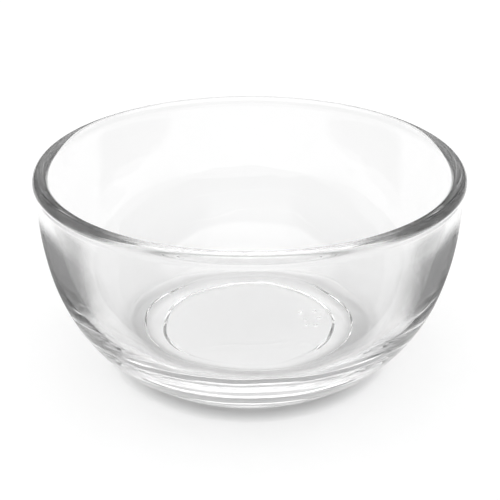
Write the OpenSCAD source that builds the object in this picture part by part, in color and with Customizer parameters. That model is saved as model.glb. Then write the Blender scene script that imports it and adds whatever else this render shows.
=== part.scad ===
// Prep bowl of clear pressed glass: one solid, turned about the Z axis.
// The origin is the middle of the plane that the foot stands on, +Z is up, and lengths are in millimetres.

/* [Bowl] */
// Diameter over the rim, at its widest
rim_d = 120; // [108:1:140]
// Height from the table to the top of the rim
bowl_h = 58.5; // [50:0.5:70]

/* [Rim] */
// Thickness of the wall just below the rim
wall_t = 3.9; // [3.2:0.1:4.6]
// How far the rounded rim stands out past the wall
rim_lip = 0.3; // [0.1:0.1:0.7]
// Radius of the hollow that blends the rim into the wall below it
rim_blend_r = 3; // [1:0.5:4]

/* [Side] */
// Steepness of the outside where it leaves the heel, in degrees
heel_slope = 35; // [31:0.5:38]
// Fullness of the outside near the heel: its handle, as a share of the way to where both tangents meet
heel_share = 0.8; // [0.74:0.01:0.85]
// Fullness of the outside near its shoulder
side_share = 0.56; // [0.45:0.01:0.62]
// Depth below the top of the rim at which the outside starts to curve inwards
shoulder_drop = 6; // [6:0.5:10]

/* [Heel] */
// Diameter of the underside, measured to the corner that the heel rounds off
heel_d = 80.2; // [78:0.1:82]
// Height of that corner above the table
heel_h = 2.1; // [1.7:0.1:2.5]
// Radius of the rounded heel
heel_r = 3.3; // [1.5:0.1:4]

/* [Foot] */
// Diameter of the flat ring that stands on the table
foot_d = 66; // [62:0.5:68]
// Height of the step round the ring
foot_h = 1.2; // [0.8:0.1:1.5]
// How far that step leans outwards
foot_draft = 0.4; // [0.1:0.1:0.8]
// Radius of the step's lower edge and of the corner above it
foot_edge_r = 0.2; // [0.1:0.1:0.3]
// Width of the ring, from its outer edge to the shallow hollow inside it
ring_w = 5.8; // [4:0.1:8]
// Height of that hollow
hollow_h = 1.2; // [0.8:0.1:1.6]
// Width of the hollow's sloping edge
hollow_slope = 1; // [0.5:0.1:2]
// Radius of the hollow's two edges
hollow_edge_r = 0.2; // [0.1:0.1:0.4]

/* [Inside] */
// Thickness of the glass in the middle of the floor
floor_t = 4.9; // [4.4:0.1:6]
// Diameter of the flat floor
floor_d = 53.6; // [50:0.2:57]
// Radius of the curve between the flat floor and the side
floor_corner_r = 22; // [18:0.5:26]
// Steepness of the inside where that curve ends, in degrees
inner_slope = 29; // [26:0.5:32]
// Fullness of the inside there
inner_low_share = 0.83; // [0.75:0.01:0.88]
// Fullness of the inside near the rim
inner_high_share = 0.61; // [0.5:0.01:0.65]
// Depth below the top of the rim at which the inside starts to curve inwards
inner_shoulder_drop = 3.2; // [3:0.1:5]

/* [Hidden] */
$fn = 180;
// Straight steps along each long curve of the section, and along each arc
curve_steps = 32;
arc_steps = 8;
rim_t = wall_t + rim_lip;
rim_r = rim_d / 2;
wall_r = rim_r - rim_lip;
inner_r = wall_r - wall_t;
foot_r = foot_d / 2;
hollow_r = foot_r - ring_w;
floor_h = hollow_h + floor_t;

// Corners of the underside, from the hollow outwards
hollow_top = [hollow_r - hollow_slope, hollow_h];
hollow_foot = [hollow_r, 0];
foot_low = [foot_r, 0];
foot_high = [foot_r + foot_draft, foot_h];
heel = [heel_d / 2, heel_h];
heel_round = round_corner(foot_high, heel, heel + [cos(heel_slope), sin(heel_slope)], heel_r);

// Where the side's outer and inner curves start
side_start = heel_round[arc_steps];
floor_corner_c = [floor_d / 2, floor_h + floor_corner_r];
inner_start = floor_corner_c + floor_corner_r * [sin(inner_slope), -cos(inner_slope)];

// Where they stand upright
side_end = [wall_r, bowl_h - shoulder_drop];
inner_end = [inner_r, bowl_h - inner_shoulder_drop];

// Centres of the small arcs
rim_c = [rim_r - rim_t / 2, bowl_h - rim_t / 2];
rim_blend_c = blend_centre(rim_c, rim_t / 2, wall_r, rim_blend_r);
rim_start = atan2(rim_blend_c.y - rim_c.y, rim_blend_c.x - rim_c.x);

// Centre of a hollow arc of radius r that touches the circle (c, round_r) and the upright line at x
function blend_centre(c, round_r, x, r) =
    [x + r, c.y - sqrt((round_r + r) ^ 2 - (x + r - c.x) ^ 2)];

// Points of an arc about c from one angle to another
function arc(c, r, from, to) =
    [for (i = [0 : arc_steps]) let (a = from + (to - from) * i / arc_steps) c + r * [cos(a), sin(a)]];

// Points of the arc of radius r that rounds off a corner of the outline
function round_corner(before, corner, after, r) =
    let (
        to_before = (before - corner) / norm(before - corner),
        to_after = (after - corner) / norm(after - corner),
        half = acos(to_before * to_after) / 2,
        middle = (to_before + to_after) / norm(to_before + to_after),
        c = corner + middle * r / sin(half),
        start = corner + to_before * r / tan(half) - c,
        away = atan2(-middle.y, -middle.x),
        from = atan2(start.y, start.x),
        turn = (away - from + 540) % 360 - 180
    )
    arc(c, r, from, from + 2 * turn);

// Points of a side's curve, which leaves its start at a slope and comes upright at its end.
// Its handles are shares of the ways from both ends to the corner where the tangents meet.
function side_curve(start, end, slope, low_share, high_share) =
    let (
        corner = [end.x, start.y + (end.x - start.x) * tan(slope)],
        start_handle = start + low_share * (corner - start),
        end_handle = end + high_share * (corner - end)
    )
    [for (i = [0 : curve_steps]) let (t = i / curve_steps, s = 1 - t)
        s ^ 3 * start + 3 * s ^ 2 * t * start_handle + 3 * s * t ^ 2 * end_handle + t ^ 3 * end];

// The same points from the other end
function backwards(points) = [for (i = [len(points) - 1 : -1 : 0]) points[i]];

// Underside, from the middle of the hollow over the flat ring and its step to the rounded heel
underside = concat(
    [[0, hollow_h]],
    round_corner([0, hollow_h], hollow_top, hollow_foot, hollow_edge_r),
    round_corner(hollow_top, hollow_foot, foot_low, hollow_edge_r),
    round_corner(hollow_foot, foot_low, foot_high, foot_edge_r),
    round_corner(foot_low, foot_high, heel, foot_edge_r),
    heel_round
);

// Outside, from the heel up to the rim
outside = concat(
    side_curve(side_start, side_end, heel_slope, heel_share, side_share),
    arc(rim_blend_c, rim_blend_r, 180, 180 + rim_start)
);

// Rounded rim, from its outer blend over its widest and highest points to the inside
rim = concat(
    arc(rim_c, rim_t / 2, rim_start, 0),
    arc(rim_c, rim_t / 2, 0, 90),
    arc(rim_c, rim_t / 2, 90, 180)
);

// Inside, from the middle of the floor up to the rim
inside = concat(
    [[0, floor_h]],
    arc(floor_corner_c, floor_corner_r, -90, inner_slope - 90),
    side_curve(inner_start, inner_end, inner_slope, inner_low_share, inner_high_share)
);

// The whole bowl, turned from its section
module bowl() {
    color([0.92, 0.95, 0.95, 0.45])
    rotate_extrude()
    polygon(concat(underside, outside, rim, backwards(inside)));
}

bowl();
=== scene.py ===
import math

import bmesh
import bpy
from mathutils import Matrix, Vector, noise


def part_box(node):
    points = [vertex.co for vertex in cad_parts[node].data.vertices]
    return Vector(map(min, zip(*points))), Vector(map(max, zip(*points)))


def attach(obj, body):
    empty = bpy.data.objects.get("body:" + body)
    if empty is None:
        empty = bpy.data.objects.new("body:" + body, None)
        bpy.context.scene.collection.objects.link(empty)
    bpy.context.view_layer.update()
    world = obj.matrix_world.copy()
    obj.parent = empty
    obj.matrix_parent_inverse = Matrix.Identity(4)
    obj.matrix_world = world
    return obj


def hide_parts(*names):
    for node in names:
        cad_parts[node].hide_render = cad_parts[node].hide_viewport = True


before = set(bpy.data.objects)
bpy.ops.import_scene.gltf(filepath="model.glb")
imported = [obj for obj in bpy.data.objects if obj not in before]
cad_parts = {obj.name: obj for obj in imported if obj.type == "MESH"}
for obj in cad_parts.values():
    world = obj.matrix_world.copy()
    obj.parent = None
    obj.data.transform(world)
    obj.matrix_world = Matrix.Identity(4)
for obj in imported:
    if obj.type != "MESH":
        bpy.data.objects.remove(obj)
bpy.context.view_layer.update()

mm = 0.001                   # Blender's unit here is the metre
print("frame loaded")


# The camera stands close to the bowl, a little above it, as in the photograph.
cameraSizes = {
    "distance": 232 * mm,    # from the bowl's axis, measured level
    "height": 148.2 * mm,    # above the table
    "aside": 0.1 * mm,       # the bowl stands a hair left of the picture's middle
    "pitchDown": 27.1,       # degrees
    "focalLength": 63.35,    # millimetres, on a sensor 36 mm wide
}

cameraData = bpy.data.cameras.new("camera")
cameraData.lens = cameraSizes["focalLength"]
cameraData.sensor_width = 36
cameraData.clip_start = 5 * mm
camera = bpy.data.objects.new("camera", cameraData)
camera.location = (cameraSizes["aside"], -cameraSizes["distance"], cameraSizes["height"])
camera.rotation_euler = (math.radians(90 - cameraSizes["pitchDown"]), 0, 0)
bpy.context.collection.objects.link(camera)
bpy.context.scene.camera = camera
bpy.context.scene.view_settings.view_transform = "Standard"
bpy.context.scene.cycles.max_bounces = 48            # light runs down inside the wall before it comes out
bpy.context.scene.cycles.transmission_bounces = 48
bpy.context.scene.cycles.glossy_bounces = 48
bpy.context.scene.cycles.blur_glossy = 0             # light reaches the table through the clear glass
print("camera placed")


# The bowl's section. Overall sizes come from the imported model, the rest repeats the model's own sizes.
low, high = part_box("bowl")
bowlSizes = {
    "rimRadius": high.x - 0.01 * mm,     # widest point of the rim
    "height": high.z,
    "wall": 3.9 * mm,                    # just below the rim
    "rimLip": 0.3 * mm,                  # how far the rim stands out past the wall
    "rimBlend": 3 * mm,                  # radius of the hollow under the rim
    "outside": {"slope": math.radians(35), "lowShare": 0.8, "highShare": 0.56},
    "inside": {"slope": math.radians(29), "lowShare": 0.83, "highShare": 0.61},
    "shoulderDrop": 6 * mm,
    "innerShoulderDrop": 3.2 * mm,
    "heelRadius": 40.1 * mm,             # of the underside, to the corner that the heel rounds off
    "heelHeight": 2.1 * mm,
    "heelRound": 3.3 * mm,
    "footRadius": 33 * mm,               # outer edge of the ring that stands on the table
    "footHeight": 1.2 * mm,
    "footDraft": 0.4 * mm,
    "footEdge": 0.2 * mm,
    "hollowRadius": 27.2 * mm,           # shallow hollow inside the ring
    "hollowHeight": 1.2 * mm,
    "hollowSlope": 1 * mm,
    "hollowEdge": 0.2 * mm,
    "floor": 4.9 * mm,                   # glass in the middle of the floor
    "floorRadius": 26.8 * mm,
    "floorCorner": 22 * mm,
    "segments": 320,                     # steps around the axis
    "sideSteps": 60,                     # steps along each side
    "arcSteps": 8,
    "heelSteps": 24,
    "rimSteps": 32,
    "floorCornerSteps": 16,
    "flatStep": 1.2 * mm,                # step along the flat stretches
    "closest": 0.002 * mm,               # points of the outline that lie nearer than this are one
    "merge": 0.001 * mm,
}


def arcPoints(centre, radius, start, end, steps):
    turns = [start + (end - start) * i / steps for i in range(steps + 1)]
    return [centre + radius * Vector((math.cos(a), math.sin(a))) for a in turns]


def sidePoints(start, end, curve, steps):
    # One smooth curve: it leaves its start at a slope and comes upright at its end.
    corner = Vector((end.x, start.y + (end.x - start.x) * math.tan(curve["slope"])))
    handleA = start.lerp(corner, curve["lowShare"])
    handleB = end.lerp(corner, curve["highShare"])
    points = []
    for i in range(steps + 1):
        t = i / steps
        s = 1 - t
        points.append(s ** 3 * start + 3 * s * s * t * handleA + 3 * s * t * t * handleB + t ** 3 * end)
    return points


def linePoints(start, end, step):
    steps = max(1, round((end - start).length / step))
    return [start.lerp(end, i / steps) for i in range(steps + 1)]


def roundedCorner(before, corner, after, radius, steps):
    toBefore = (before - corner).normalized()
    toAfter = (after - corner).normalized()
    half = toBefore.angle(toAfter) / 2
    reach = radius / math.tan(half)
    centre = corner + (toBefore + toAfter).normalized() * radius / math.sin(half)
    arm = corner + toBefore * reach - centre
    turn = arm.angle_signed(corner + toAfter * reach - centre)
    start = math.atan2(arm.y, arm.x)
    return arcPoints(centre, radius, start, start - turn, steps)


def bowlOutline(s):
    rimThickness = s["wall"] + s["rimLip"]
    wallRadius = s["rimRadius"] - s["rimLip"]
    innerRadius = wallRadius - s["wall"]
    floorHeight = s["hollowHeight"] + s["floor"]

    # Underside: hollow, flat ring, the step round it, and the rounded heel
    slope = s["outside"]["slope"]
    corners = [
        (Vector((0, s["hollowHeight"])), 0),
        (Vector((s["hollowRadius"] - s["hollowSlope"], s["hollowHeight"])), s["hollowEdge"]),
        (Vector((s["hollowRadius"], 0)), s["hollowEdge"]),
        (Vector((s["footRadius"], 0)), s["footEdge"]),
        (Vector((s["footRadius"] + s["footDraft"], s["footHeight"])), s["footEdge"]),
        (Vector((s["heelRadius"], s["heelHeight"])), s["heelRound"]),
        (Vector((s["heelRadius"] + math.cos(slope), s["heelHeight"] + math.sin(slope))), 0),
    ]
    outline = [corners[0][0]]
    for (before, _), (corner, radius), (after, _) in zip(corners, corners[1:], corners[2:]):
        steps = s["heelSteps"] if radius == s["heelRound"] else s["arcSteps"]
        rounded = roundedCorner(before, corner, after, radius, steps)
        outline += linePoints(outline[-1], rounded[0], s["flatStep"]) + rounded

    # Outer side
    shoulder = Vector((wallRadius, s["height"] - s["shoulderDrop"]))
    outline += sidePoints(outline[-1], shoulder, s["outside"], s["sideSteps"])

    # Rim: the hollow under it, then the full round over its top
    rimCentre = Vector((s["rimRadius"] - rimThickness / 2, s["height"] - rimThickness / 2))
    across = wallRadius + s["rimBlend"] - rimCentre.x
    drop = math.sqrt((rimThickness / 2 + s["rimBlend"]) ** 2 - across ** 2)
    rimStart = math.atan2(-drop, across)
    underRim = rimCentre + Vector((across, -drop))
    outline += arcPoints(underRim, s["rimBlend"], math.pi, math.pi + rimStart, s["arcSteps"])
    outline += arcPoints(rimCentre, rimThickness / 2, rimStart, 0, s["arcSteps"])
    outline += arcPoints(rimCentre, rimThickness / 2, 0, math.pi, s["rimSteps"])

    # Inside, written from the floor up and turned round
    cornerCentre = Vector((s["floorRadius"], floorHeight + s["floorCorner"]))
    inside = linePoints(Vector((0, floorHeight)), Vector((s["floorRadius"], floorHeight)), s["flatStep"])
    endAngle = s["inside"]["slope"] - math.pi / 2
    inside += arcPoints(cornerCentre, s["floorCorner"], -math.pi / 2, endAngle, s["floorCornerSteps"])
    innerShoulder = Vector((innerRadius, s["height"] - s["innerShoulderDrop"]))
    inside += sidePoints(inside[-1], innerShoulder, s["inside"], s["sideSteps"])
    outline += reversed(inside)
    return outline


# Pressed glass is never quite even: the mould leaves long, very low waves in both faces of the sides.
waveSizes = {
    "depth": 0.13 * mm,      # deepest wave, always into the glass
    "length": 11 * mm,       # from crest to crest
    "calmBelow": 7 * mm,     # the floor is even
    "calmTop": 2 * mm,       # and so is the fire-polished rim
    "fade": 10 * mm,         # the waves grow to full depth over this height
    "seed": 4.0,
}


def waveGlass(bm, sizes):
    bm.normal_update()
    top = max(v.co.z for v in bm.verts)
    shifts = {}
    for v in bm.verts:
        place = v.co / sizes["length"] + Vector((sizes["seed"], 0, 0))
        wave = (noise.noise(place) - 1) / 2
        calm = min(v.co.z - sizes["calmBelow"], top - v.co.z - sizes["calmTop"])
        share = max(0, min(1, calm / sizes["fade"]))
        shifts[v] = v.normal * wave * sizes["depth"] * share
    for v, shift in shifts.items():
        v.co += shift


def makeBowl(sizes):
    bm = bmesh.new()
    verts = []
    for point in bowlOutline(sizes):
        if not verts or (point - verts[-1].co.xz).length > sizes["closest"]:
            verts.append(bm.verts.new((point.x, 0, point.y)))
    edges = [bm.edges.new(pair) for pair in zip(verts, verts[1:])]
    bmesh.ops.spin(bm, geom=verts + edges, cent=(0, 0, 0), axis=(0, 0, 1), angle=2 * math.pi,
                   steps=sizes["segments"], use_merge=True)
    bmesh.ops.remove_doubles(bm, verts=bm.verts, dist=sizes["merge"])
    bmesh.ops.recalc_face_normals(bm, faces=bm.faces)
    waveGlass(bm, waveSizes)
    for face in bm.faces:
        face.smooth = True
    mesh = bpy.data.meshes.new("bowl_glass")
    bm.to_mesh(mesh)
    bm.free()
    bowl = bpy.data.objects.new("bowl_glass", mesh)
    bpy.context.collection.objects.link(bowl)
    return bowl


bowl = makeBowl(bowlSizes)
print("bowl made:", len(bowl.data.polygons), "faces")


def colourOf(hexText):
    # sRGB hex to Blender's linear colour
    parts = [int(hexText[i:i + 2], 16) / 255 for i in (1, 3, 5)]
    return tuple(c / 12.92 if c <= 0.04045 else ((c + 0.055) / 1.055) ** 2.4 for c in parts) + (1.0,)


def addNode(tree, kind, settings=None, values=None, links=None):
    node = tree.nodes.new(kind)
    for name, value in (settings or {}).items():
        setattr(node, name, value)
    for name, value in (values or {}).items():
        node.inputs[name].default_value = value
    for name, socket in (links or {}).items():
        tree.links.new(socket, node.inputs[name])
    return node


def newMaterial(name):
    material = bpy.data.materials.new(name)
    material.use_nodes = True
    material.node_tree.nodes.clear()
    return material, material.node_tree


# Clear soda-lime glass, pressed in an iron mould and fire-polished: no colour of its own but a trace of
# grey, a mirror-smooth skin, faint chill waves where it first touched the mould, and a few plain dots.
glassLook = {
    "tint": "#F9F9F9",
    "ior": 1.52,
    "chillLength": 2.5 * mm,         # from one chill wave to the next
    "chillDetail": 2.0,
    "chillDepth": 0.002 * mm,
    "dots": [(16.4, 6.8), (21.1, 7.4), (17.7, 2.2), (22.1, 2.6), (18, -2.4), (21, -2.4)],   # mm
    "dotRadius": 1.1 * mm,
    "dotDepth": 0.16 * mm,
}


def mouldDots(tree, look, place):
    # Height of the small plain dots that the mould leaves on the underside
    heights = []
    for x, y in look["dots"]:
        centre = (x * mm, y * mm, bowlSizes["hollowHeight"])
        away = addNode(tree, "ShaderNodeVectorMath", {"operation": "DISTANCE"}, {1: centre}, {0: place})
        dot = addNode(tree, "ShaderNodeMapRange", {"interpolation_type": "SMOOTHSTEP"},
                      {"From Min": look["dotRadius"], "From Max": 0.0, "To Max": look["dotDepth"]},
                      {"Value": away.outputs["Value"]})
        heights.append(dot.outputs[0])
    total = heights[0]
    for height in heights[1:]:
        total = addNode(tree, "ShaderNodeMath", {"operation": "ADD"}, links={0: total, 1: height}).outputs[0]
    return total


def pressedSodaLimeGlass(look):
    material, tree = newMaterial("pressed soda-lime glass")
    place = addNode(tree, "ShaderNodeTexCoord")
    chill = addNode(tree, "ShaderNodeTexNoise",
                    values={"Scale": 1 / look["chillLength"], "Detail": look["chillDetail"]},
                    links={"Vector": place.outputs["Object"]})
    waves = addNode(tree, "ShaderNodeMath", {"operation": "MULTIPLY"},
                    {1: look["chillDepth"]}, {0: chill.outputs["Fac"]})
    height = addNode(tree, "ShaderNodeMath", {"operation": "ADD"},
                     links={0: waves.outputs[0], 1: mouldDots(tree, look, place.outputs["Object"])})
    bump = addNode(tree, "ShaderNodeBump", values={"Strength": 1.0, "Distance": 1.0},
                   links={"Height": height.outputs[0]})
    glass = addNode(tree, "ShaderNodeBsdfPrincipled",
                    values={"Base Color": colourOf(look["tint"]), "Roughness": 0.0, "IOR": look["ior"],
                            "Transmission Weight": 1.0},
                    links={"Normal": bump.outputs["Normal"]})
    addNode(tree, "ShaderNodeOutputMaterial", links={"Surface": glass.outputs["BSDF"]})
    return material


bowl.data.materials.append(pressedSodaLimeGlass(glassLook))
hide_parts("bowl")
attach(bowl, "root")
print("glass on the bowl")


# Studio: a white table with a painted shadow round the heel, under a soft pale tent that is dark near the
# table, a broad lamp overhead, and two soft-edged cards at each side, one standing and one lying on the
# table as painted shade. Only the glass shows the cards, as dark streaks along its edges.
studioSizes = {
    "tableSide": 4.0,
    "tableDrop": 0.05 * mm,          # keeps the table's face clear of the ring's
    "tableColour": "#D8D8D8",
    "tableGlow": 0.37,               # lifts the table to white where it is looked at
    "paintedContactShadow": 0.5,             # painted shadow: what is left of the table's white right under the heel
    "shadeInner": 29 * mm,           # the shade begins here, from the bowl's axis
    "shadeFull": 34 * mm,
    "shadeFade": 39 * mm,
    "shadeOuter": 45 * mm,           # and ends here
    "shadeBehind": 0.15,             # share of the shade that is left behind the bowl
    "tentLow": 0.0,                  # the tent's light near the table
    "tentHigh": 0.57,                # and high up
    "tentRise": 0.65,                # sine of the height from which it is full
    "lampLight": 1.42,               # the lamp, on top of the tent
    "lampEdge": 0.8,                 # sine of the height at which it begins
    "lampSoftness": 0.04,            # how far its edge fades to either side of that
    "cardSolid": 0.55,               # share of a card's reach from which it thins out
    "tallCentre": (125 * mm, -40 * mm, 130 * mm),
    "tallReach": (1, 200 * mm, 130 * mm),    # in metres across, far more than a flat card needs
    "tallColour": "#0C0C0C",
    # the lying grey cards are painted shade on the table at the sides, which only the glass shows
    "lowCentre": (92 * mm, 12 * mm, 0.5 * mm),
    "lowReach": (40 * mm, 70 * mm, 1),       # and here upwards
    "lowShadeColour": "#989898",
}


def lookedAt(tree):
    # One for rays from the camera, straight or by way of glass and gloss, and nought for the light itself
    rays = addNode(tree, "ShaderNodeLightPath")
    glass = addNode(tree, "ShaderNodeMath", {"operation": "MAXIMUM"},
                    links={0: rays.outputs["Is Glossy Ray"], 1: rays.outputs["Is Transmission Ray"]})
    return addNode(tree, "ShaderNodeMath", {"operation": "MAXIMUM"},
                   links={0: rays.outputs["Is Camera Ray"], 1: glass.outputs[0]}).outputs[0]


def stageObject(name, bm, material):
    mesh = bpy.data.meshes.new(name)
    bm.to_mesh(mesh)
    bm.free()
    thing = bpy.data.objects.new(name, mesh)
    bpy.context.collection.objects.link(thing)
    thing.data.materials.append(material)
    return thing


def paintedContactShadow(tree, sizes):
    # Painted shadow: one on the open table, less where the heel stands close over it, more in front of the
    # bowl than behind it
    place = addNode(tree, "ShaderNodeTexCoord")
    away = addNode(tree, "ShaderNodeVectorMath", {"operation": "LENGTH"}, links={0: place.outputs["Object"]})
    parts = addNode(tree, "ShaderNodeSeparateXYZ", links={0: place.outputs["Object"]})
    inner = addNode(tree, "ShaderNodeMapRange", {"interpolation_type": "SMOOTHSTEP"},
                    {"From Min": sizes["shadeInner"], "From Max": sizes["shadeFull"]},
                    {"Value": away.outputs["Value"]})
    outer = addNode(tree, "ShaderNodeMapRange", {"interpolation_type": "SMOOTHSTEP"},
                    {"From Min": sizes["shadeOuter"], "From Max": sizes["shadeFade"]},
                    {"Value": away.outputs["Value"]})
    front = addNode(tree, "ShaderNodeMapRange", {"interpolation_type": "SMOOTHSTEP"},
                    {"From Min": sizes["shadeOuter"], "From Max": -sizes["shadeOuter"],
                     "To Min": sizes["shadeBehind"]},
                    {"Value": parts.outputs["Y"]})
    ring = addNode(tree, "ShaderNodeMath", {"operation": "MULTIPLY"},
                   links={0: inner.outputs[0], 1: outer.outputs[0]})
    shade = addNode(tree, "ShaderNodeMath", {"operation": "MULTIPLY"},
                    links={0: ring.outputs[0], 1: front.outputs[0]})
    return addNode(tree, "ShaderNodeMapRange", values={"To Min": 1.0, "To Max": sizes["paintedContactShadow"]},
                   links={"Value": shade.outputs[0]}).outputs[0]


def makeTable(sizes):
    bm = bmesh.new()
    bmesh.ops.create_grid(bm, x_segments=1, y_segments=1, size=sizes["tableSide"] / 2)
    bmesh.ops.translate(bm, verts=bm.verts, vec=(0, 0, -sizes["tableDrop"]))
    material, tree = newMaterial("matt white laminate")
    # The painted contact shadow darkens both the table's colour and its glow
    shade = paintedContactShadow(tree, sizes)
    colour = addNode(tree, "ShaderNodeVectorMath", {"operation": "SCALE"},
                     {0: colourOf(sizes["tableColour"])[:3]}, {"Scale": shade})
    matt = addNode(tree, "ShaderNodeBsdfDiffuse", links={"Color": colour.outputs[0]})
    white = addNode(tree, "ShaderNodeMath", {"operation": "MULTIPLY"},
                    {1: sizes["tableGlow"]}, {0: lookedAt(tree)})
    shaded = addNode(tree, "ShaderNodeMath", {"operation": "MULTIPLY"},
                     links={0: white.outputs[0], 1: shade})
    glow = addNode(tree, "ShaderNodeEmission", links={"Strength": shaded.outputs[0]})
    both = addNode(tree, "ShaderNodeAddShader", links={0: matt.outputs[0], 1: glow.outputs[0]})
    addNode(tree, "ShaderNodeOutputMaterial", links={"Surface": both.outputs[0]})
    return stageObject("table", bm, material)


def softCard(name, colour, centre, reach, solid):
    # Matt card that thins out to nothing at its edges. The centre is that of the card on the right, and
    # taking x without its sign gives the one on the left the same edges.
    material, tree = newMaterial(name)
    place = addNode(tree, "ShaderNodeTexCoord")
    unsigned = addNode(tree, "ShaderNodeVectorMath", {"operation": "ABSOLUTE"},
                       links={0: place.outputs["Object"]})
    aside = addNode(tree, "ShaderNodeSeparateXYZ", links={0: unsigned.outputs[0]})
    parts = addNode(tree, "ShaderNodeSeparateXYZ", links={0: place.outputs["Object"]})
    folded = addNode(tree, "ShaderNodeCombineXYZ",
                     links={0: aside.outputs["X"], 1: parts.outputs["Y"], 2: parts.outputs["Z"]})
    shifted = addNode(tree, "ShaderNodeVectorMath", {"operation": "SUBTRACT"}, {1: centre},
                      {0: folded.outputs[0]})
    scaled = addNode(tree, "ShaderNodeVectorMath", {"operation": "DIVIDE"}, {1: reach},
                     {0: shifted.outputs[0]})
    away = addNode(tree, "ShaderNodeVectorMath", {"operation": "LENGTH"}, links={0: scaled.outputs[0]})
    cover = addNode(tree, "ShaderNodeMapRange", {"interpolation_type": "SMOOTHSTEP"},
                    {"From Min": 1.0, "From Max": solid}, {"Value": away.outputs["Value"]})
    matt = addNode(tree, "ShaderNodeBsdfDiffuse", values={"Color": colourOf(colour)})
    clear = addNode(tree, "ShaderNodeBsdfTransparent")
    mixed = addNode(tree, "ShaderNodeMixShader",
                    links={0: cover.outputs[0], 1: clear.outputs[0], 2: matt.outputs[0]})
    addNode(tree, "ShaderNodeOutputMaterial", links={"Surface": mixed.outputs[0]})
    return material


def makeTallCards(sizes):
    # They stand well off at the sides
    x, y, z = sizes["tallCentre"]
    _, along, up = sizes["tallReach"]
    bm = bmesh.new()
    for side in (-x, x):
        corners = [(side, y - along, 0), (side, y + along, 0),
                   (side, y + along, z + up), (side, y - along, z + up)]
        bm.faces.new([bm.verts.new(corner) for corner in corners])
    material = softCard("black card", sizes["tallColour"], sizes["tallCentre"], sizes["tallReach"],
                        sizes["cardSolid"])
    return stageObject("cards", bm, material)


def makeLyingShadeCards(sizes):
    # Painted shade: they lie on the table, closer to the bowl, and darken the table at the sides where only
    # the glass shows it
    x, y, z = sizes["lowCentre"]
    across, along, _ = sizes["lowReach"]
    bm = bmesh.new()
    for side in (-x, x):
        corners = [(side - across, y - along, z), (side + across, y - along, z),
                   (side + across, y + along, z), (side - across, y + along, z)]
        bm.faces.new([bm.verts.new(corner) for corner in corners])
    material = softCard("grey shade card", sizes["lowShadeColour"], sizes["lowCentre"], sizes["lowReach"],
                        sizes["cardSolid"])
    return stageObject("lying_shade_cards", bm, material)


def makeTent(sizes):
    world = bpy.data.worlds.new("studio")
    bpy.context.scene.world = world
    world.use_nodes = True
    tree = world.node_tree
    tree.nodes.clear()
    place = addNode(tree, "ShaderNodeTexCoord")
    parts = addNode(tree, "ShaderNodeSeparateXYZ", links={0: place.outputs["Generated"]})
    tent = addNode(tree, "ShaderNodeMapRange", {"interpolation_type": "SMOOTHSTEP"},
                   {"From Max": sizes["tentRise"], "To Min": sizes["tentLow"], "To Max": sizes["tentHigh"]},
                   {"Value": parts.outputs["Z"]})
    lamp = addNode(tree, "ShaderNodeMapRange", {"interpolation_type": "SMOOTHSTEP"},
                   {"From Min": sizes["lampEdge"] - sizes["lampSoftness"],
                    "From Max": sizes["lampEdge"] + sizes["lampSoftness"],
                    "To Max": sizes["lampLight"]},
                   {"Value": parts.outputs["Z"]})
    both = addNode(tree, "ShaderNodeMath", {"operation": "ADD"},
                   links={0: tent.outputs[0], 1: lamp.outputs[0]})
    # The camera itself sees plain white behind the table
    rays = addNode(tree, "ShaderNodeLightPath")
    seen = addNode(tree, "ShaderNodeMapRange", values={"To Max": 1.0},
                   links={"Value": rays.outputs["Is Camera Ray"], "To Min": both.outputs[0]})
    light = addNode(tree, "ShaderNodeBackground", values={"Color": (1, 1, 1, 1)},
                    links={"Strength": seen.outputs[0]})
    addNode(tree, "ShaderNodeOutputWorld", links={"Surface": light.outputs[0]})


makeTable(studioSizes)
for cards in (makeTallCards(studioSizes), makeLyingShadeCards(studioSizes)):
    cards.visible_camera = False
    cards.visible_diffuse = False
    cards.visible_shadow = False
makeTent(studioSizes)
print("studio set")
